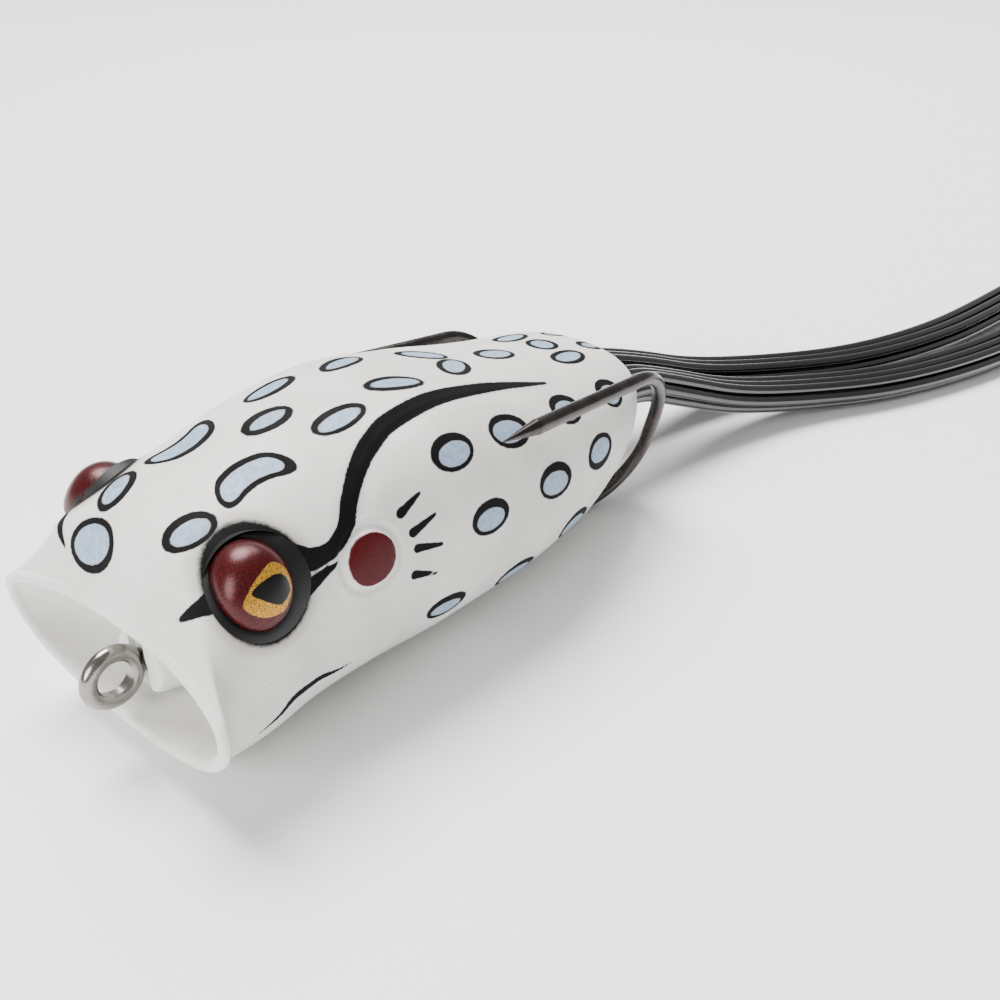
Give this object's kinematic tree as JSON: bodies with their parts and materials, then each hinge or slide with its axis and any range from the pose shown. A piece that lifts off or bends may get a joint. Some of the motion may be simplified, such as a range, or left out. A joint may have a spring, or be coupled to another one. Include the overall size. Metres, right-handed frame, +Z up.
{
  "type": "topwater popper",
  "caption": "Hollow soft-bodied frog popping lure with a cupped mouth, line tie, belly keel, double hook and a strand skirt.",
  "frame": {"origin": "on the floor that the belly rests on, below the middle of the lure's length and width without its skirt", "axes": "+X towards the tail, -X towards the nose and line tie, -Y towards the frog's left, +Z up"},
  "size_m": [0.1547, 0.0481, 0.0231],
  "materials": {
    "soft_body": "satin soft plastic, painted",
    "eye": "gloss, dark red with a gold crescent and black pupil",
    "tie_wire": "bright stainless wire",
    "hook_wire": "black nickel",
    "keel": "dull cast metal",
    "skirt": "gloss black"
  },
  "bodies": {
    "body": {"body_shell": "soft_body", "eye_left": "eye", "eye_right": "eye"},
    "hooks": {"line_tie": "tie_wire", "hook_left": "hook_wire", "hook_right": "hook_wire", "keel_weight": "keel"},
    "leg_left": {"leg_collar_left": "skirt", "strand_left_01": "skirt", "strand_left_02": "skirt", "strand_left_03": "skirt", "strand_left_04": "skirt", "strand_left_05": "skirt", "strand_left_06": "skirt", "strand_left_07": "skirt", "strand_left_08": "skirt", "strand_left_09": "skirt", "strand_left_10": "skirt"},
    "leg_right": {"leg_collar_right": "skirt", "strand_right_01": "skirt", "strand_right_02": "skirt", "strand_right_03": "skirt", "strand_right_04": "skirt", "strand_right_05": "skirt", "strand_right_06": "skirt", "strand_right_07": "skirt", "strand_right_08": "skirt", "strand_right_09": "skirt", "strand_right_10": "skirt"}
  },
  "joints": [
    {"name": "hook_swing", "type": "hinge", "parent": "body", "child": "hooks", "pos_m": [-0.02261, 0, 0.0075], "axis": [0, 1, 0], "range_deg": [0, 4]},
    {"name": "leg_left_splay", "type": "hinge", "parent": "body", "child": "leg_left", "pos_m": [0.02879, -0.0034, 0.0105], "axis": [0, 0, -1], "range_deg": [0, 15]},
    {"name": "leg_right_splay", "type": "hinge", "parent": "body", "child": "leg_right", "pos_m": [0.02879, 0.0034, 0.0105], "axis": [0, 0, 1], "range_deg": [0, 15]}
  ]
}
